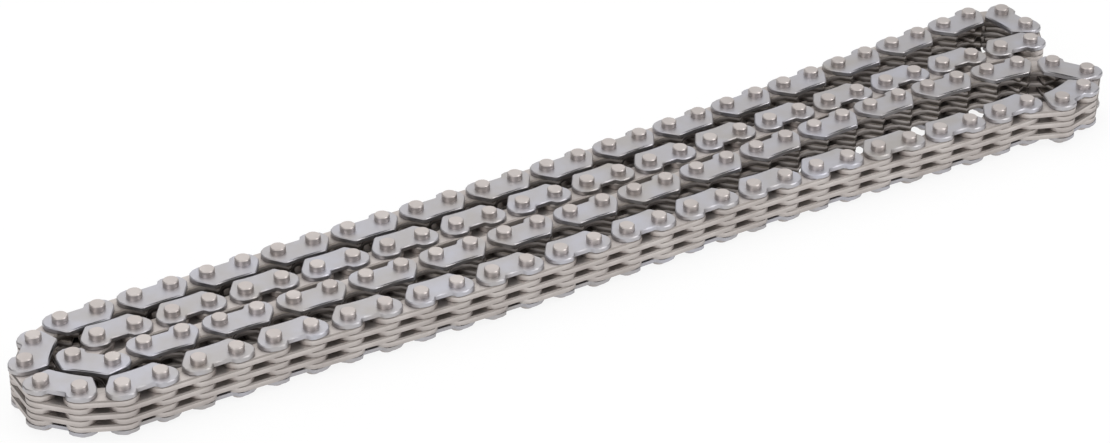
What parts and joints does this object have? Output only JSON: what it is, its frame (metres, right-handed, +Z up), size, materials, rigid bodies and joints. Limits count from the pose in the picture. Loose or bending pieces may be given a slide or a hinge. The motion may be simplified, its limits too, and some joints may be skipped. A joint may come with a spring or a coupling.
{
  "type": "silent chain",
  "caption": "Endless inverted-tooth timing chain of laced steel plates on round pins, lying on its side and folded flat in parallel runs.",
  "frame": {"origin": "middle of the folded loop in plan, at the lower pin ends", "axes": "+X along the runs, +Y to the back run, +Z up along the pins"},
  "size_m": [0.2062, 0.0396, 0.009],
  "materials": {
    "guide_steel": "satin",
    "link_steel": "satin",
    "pin_steel": "satin"
  },
  "bodies": {
    "front_run": {"front_guides": "guide_steel", "front_pins": "pin_steel", "front_guide_row": "link_steel", "front_inner_row": "link_steel"},
    "back_run": {"back_guides": "guide_steel", "back_pins": "pin_steel", "back_guide_row": "link_steel", "back_inner_row": "link_steel"},
    "mid_back_run": {"mid_back_guides": "guide_steel", "mid_back_pins": "pin_steel", "mid_back_guide_row": "link_steel", "mid_back_inner_row": "link_steel"},
    "mid_front_run": {"mid_front_guides": "guide_steel", "mid_front_pins": "pin_steel", "mid_front_guide_row": "link_steel", "mid_front_inner_row": "link_steel"},
    "left_link_1": {"left1_plates": "link_steel"},
    "left_link_2": {"left2_guides": "guide_steel", "left2_pins": "pin_steel", "left2_plates": "link_steel"},
    "left_link_3": {"left3_plates": "link_steel"},
    "left_link_4": {"left4_guides": "guide_steel", "left4_pins": "pin_steel", "left4_plates": "link_steel"},
    "left_link_5": {"left5_plates": "link_steel"},
    "rear_link_1": {"rear1_plates": "link_steel"},
    "rear_link_2": {"rear2_guides": "guide_steel", "rear2_pins": "pin_steel", "rear2_plates": "link_steel"},
    "rear_link_3": {"rear3_plates": "link_steel"},
    "tuck_link_1": {"tuck1_plates": "link_steel"},
    "tuck_link_2": {"tuck2_guides": "guide_steel", "tuck2_pins": "pin_steel", "tuck2_plates": "link_steel"},
    "tuck_link_3": {"tuck3_plates": "link_steel"},
    "nose_link_1": {"nose1_plates": "link_steel"},
    "nose_link_2": {"nose2_guides": "guide_steel", "nose2_pins": "pin_steel", "nose2_plates": "link_steel"},
    "nose_link_3": {"nose3_plates": "link_steel"},
    "nose_link_4": {"nose4_guides": "guide_steel", "nose4_pins": "pin_steel", "nose4_plates": "link_steel"},
    "nose_link_5": {"nose5_plates": "link_steel"}
  },
  "joints": [
    {"name": "pin_left_link_1", "type": "hinge", "parent": "front_run", "child": "left_link_1", "pos_m": [-0.09051, -0.00587, 0.0045], "axis": [0, 0, 1], "range_deg": [-2.42, 0.05]},
    {"name": "pin_left_link_2", "type": "hinge", "parent": "left_link_1", "child": "left_link_2", "pos_m": [-0.09613, -0.00291, 0.0045], "axis": [0, 0, 1], "range_deg": [-0.05, 1.71]},
    {"name": "pin_left_link_3", "type": "hinge", "parent": "left_link_2", "child": "left_link_3", "pos_m": [-0.10011, 0.00204, 0.0045], "axis": [0, 0, 1], "range_deg": [0, 5.1]},
    {"name": "pin_left_link_4", "type": "hinge", "parent": "left_link_3", "child": "left_link_4", "pos_m": [-0.09968, 0.00837, 0.0045], "axis": [0, 0, 1], "range_deg": [-7.48, 0.05]},
    {"name": "pin_left_link_5", "type": "hinge", "parent": "left_link_4", "child": "left_link_5", "pos_m": [-0.09581, 0.01341, 0.0045], "axis": [0, 0, 1], "range_deg": [-0.05, 2.23]},
    {"name": "pin_back_run", "type": "hinge", "parent": "left_link_5", "child": "back_run", "pos_m": [-0.09001, 0.01598, 0.0045], "axis": [0, 0, 1], "range_deg": [-0.05, 0.91]},
    {"name": "pin_rear_link_1", "type": "hinge", "parent": "back_run", "child": "rear_link_1", "pos_m": [0.09403, 0.01691, 0.0045], "axis": [0, 0, 1], "range_deg": [-4, 0]},
    {"name": "pin_rear_link_2", "type": "hinge", "parent": "rear_link_1", "child": "rear_link_2", "pos_m": [0.09994, 0.0146, 0.0045], "axis": [0, 0, 1], "range_deg": [-0.05, 10.04]},
    {"name": "pin_rear_link_3", "type": "hinge", "parent": "rear_link_2", "child": "rear_link_3", "pos_m": [0.10013, 0.00825, 0.0045], "axis": [0, 0, 1], "range_deg": [-11.47, 0.05]},
    {"name": "pin_mid_back_run", "type": "hinge", "parent": "rear_link_3", "child": "mid_back_run", "pos_m": [0.09662, 0.00296, 0.0045], "axis": [0, 0, 1], "range_deg": [-0.05, 5.49]},
    {"name": "pin_tuck_link_1", "type": "hinge", "parent": "mid_back_run", "child": "tuck_link_1", "pos_m": [-0.08736, 0.00867, 0.0045], "axis": [0, 0, 1], "range_deg": [-6.61, 0]},
    {"name": "pin_tuck_link_2", "type": "hinge", "parent": "tuck_link_1", "child": "tuck_link_2", "pos_m": [-0.09298, 0.00572, 0.0045], "axis": [0, 0, 1], "range_deg": [-0.05, 8.45]},
    {"name": "pin_nose_link_5", "type": "hinge", "parent": "front_run", "child": "nose_link_5", "pos_m": [0.08068, -0.01428, 0.0045], "axis": [0, 0, 1], "range_deg": [-6.98, 0]},
    {"name": "pin_nose_link_4", "type": "hinge", "parent": "nose_link_5", "child": "nose_link_4", "pos_m": [0.08647, -0.01689, 0.0045], "axis": [0, 0, 1], "range_deg": [-0.05, 6.79]},
    {"name": "pin_nose_link_3", "type": "hinge", "parent": "nose_link_4", "child": "nose_link_3", "pos_m": [0.09267, -0.0155, 0.0045], "axis": [0, 0, 1], "range_deg": [-0.05, 1.43]},
    {"name": "pin_nose_link_2", "type": "hinge", "parent": "nose_link_3", "child": "nose_link_2", "pos_m": [0.09736, -0.01122, 0.0045], "axis": [0, 0, 1], "range_deg": [-1.45, 0.05]},
    {"name": "pin_nose_link_1", "type": "hinge", "parent": "nose_link_2", "child": "nose_link_1", "pos_m": [0.09424, -0.00569, 0.0045], "axis": [0, 0, 1], "range_deg": [-6.41, 0.05]},
    {"name": "pin_mid_front_run", "type": "hinge", "parent": "nose_link_1", "child": "mid_front_run", "pos_m": [0.0888, -0.00241, 0.0045], "axis": [0, 0, 1], "range_deg": [-0.05, 6.67]},
    {"name": "pin_tuck_link_3", "type": "hinge", "parent": "mid_front_run", "child": "tuck_link_3", "pos_m": [-0.08239, 0.00284, 0.0045], "axis": [0, 0, 1], "range_deg": [-7.49, 0.05]}
  ],
  "couplings": [
    {"joint": "pin_left_link_1", "follows": "pin_left_link_3", "ratio": -0.46471},
    {"joint": "pin_left_link_2", "follows": "pin_left_link_3", "ratio": 0.32549},
    {"joint": "pin_left_link_4", "follows": "pin_left_link_3", "ratio": -1.4569},
    {"joint": "pin_left_link_5", "follows": "pin_left_link_3", "ratio": 0.42745},
    {"joint": "pin_back_run", "follows": "pin_left_link_3", "ratio": 0.16863},
    {"joint": "pin_rear_link_2", "follows": "pin_rear_link_1", "ratio": -2.4945},
    {"joint": "pin_rear_link_3", "follows": "pin_rear_link_1", "ratio": 2.8527},
    {"joint": "pin_mid_back_run", "follows": "pin_rear_link_1", "ratio": -1.3582},
    {"joint": "pin_nose_link_4", "follows": "pin_nose_link_5", "ratio": -0.96521},
    {"joint": "pin_nose_link_3", "follows": "pin_nose_link_5", "ratio": -0.19717},
    {"joint": "pin_nose_link_2", "follows": "pin_nose_link_5", "ratio": 0.19974},
    {"joint": "pin_nose_link_1", "follows": "pin_nose_link_5", "ratio": 0.91108},
    {"joint": "pin_mid_front_run", "follows": "pin_nose_link_5", "ratio": -0.94845},
    {"joint": "pin_tuck_link_2", "follows": "pin_tuck_link_1", "ratio": -1.2716},
    {"joint": "pin_tuck_link_3", "follows": "pin_tuck_link_1", "ratio": 1.1252}
  ]
}
